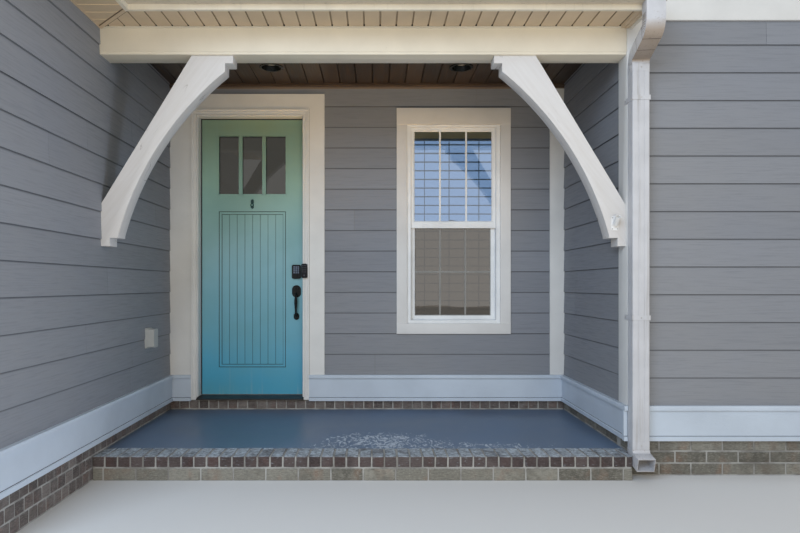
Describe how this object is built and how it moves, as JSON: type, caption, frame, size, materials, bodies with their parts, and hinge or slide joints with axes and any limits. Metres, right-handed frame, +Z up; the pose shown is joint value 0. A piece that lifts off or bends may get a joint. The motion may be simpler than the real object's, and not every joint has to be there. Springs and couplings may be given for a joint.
{
  "type": "entrance porch",
  "caption": "Recessed entrance porch of a boarded timber house: brick-edged floor, curved braces under a boxed beam, panelled front door, sash window, eave and gutter.",
  "frame": {"origin": "on the ground below the middle of the porch floor, on the underside of the floor slab", "axes": "+X to the right as one faces the front door, +Y into the house, +Z up"},
  "size_m": [4.703, 2.783, 3.8504],
  "materials": {
    "brickwork": "rough",
    "painted_concrete": "satin",
    "siding": "matte",
    "white_trim": "satin",
    "cream_trim": "satin",
    "painted_timber": "satin",
    "stained_boards": "satin",
    "bronze": "satin",
    "soffit_vinyl": "matte",
    "white_aluminium": "satin",
    "shingles": "rough",
    "black_metal": "satin",
    "white_vinyl": "satin",
    "glass": "polished",
    "blind": "matte",
    "black_plastic": "gloss",
    "grey_plastic": "satin",
    "white_metal": "gloss",
    "door_paint": "satin",
    "dark_teal_metal": "satin"
  },
  "bodies": {
    "porch": {"left_foundation": "brickwork", "back_foundation": "brickwork", "right_foundation": "brickwork", "porch_slab": "painted_concrete", "brick_edging": "brickwork", "left_wall": "siding", "back_wall_left": "siding", "back_wall_over_door": "siding", "back_wall_right": "siding", "return_wall": "siding", "right_wall": "siding", "skirt_boards": "white_trim", "corner_boards": "white_trim", "band_board": "white_trim", "beam": "cream_trim", "brace_left": "painted_timber", "brace_right": "painted_timber", "ceiling": "stained_boards", "ceiling_moulding": "stained_boards", "downlights": "bronze", "soffit": "soffit_vinyl", "fascia": "cream_trim", "gutter_porch": "white_aluminium", "gutter_left": "white_aluminium", "downspout": "white_aluminium", "downspout_elbows": "white_aluminium", "downspout_straps": "white_aluminium", "roof_porch": "shingles", "roof_left": "shingles", "door_casing": "white_trim", "door_frame": "white_trim", "threshold": "bronze", "frame_hinges": "black_metal", "window_casing": "white_trim", "window_frame": "white_vinyl", "upper_sash": "white_vinyl", "lower_sash": "white_vinyl", "window_glass": "glass", "window_blind": "blind", "inside_casings": "white_trim", "doorbell": "black_plastic", "outlet_cover": "grey_plastic", "flag_holder": "white_metal"},
    "front_door": {"door_leaf": "door_paint", "door_glass": "glass", "keypad_lock": "black_metal", "handle_set": "black_metal", "leaf_hinges": "black_metal", "door_knocker": "dark_teal_metal"}
  },
  "joints": [
    {"name": "front_door_hinge", "type": "hinge", "parent": "porch", "child": "front_door", "pos_m": [-1.4615, 0.828, 1.4], "axis": [0, 0, 1], "range_deg": [0, 100]}
  ]
}
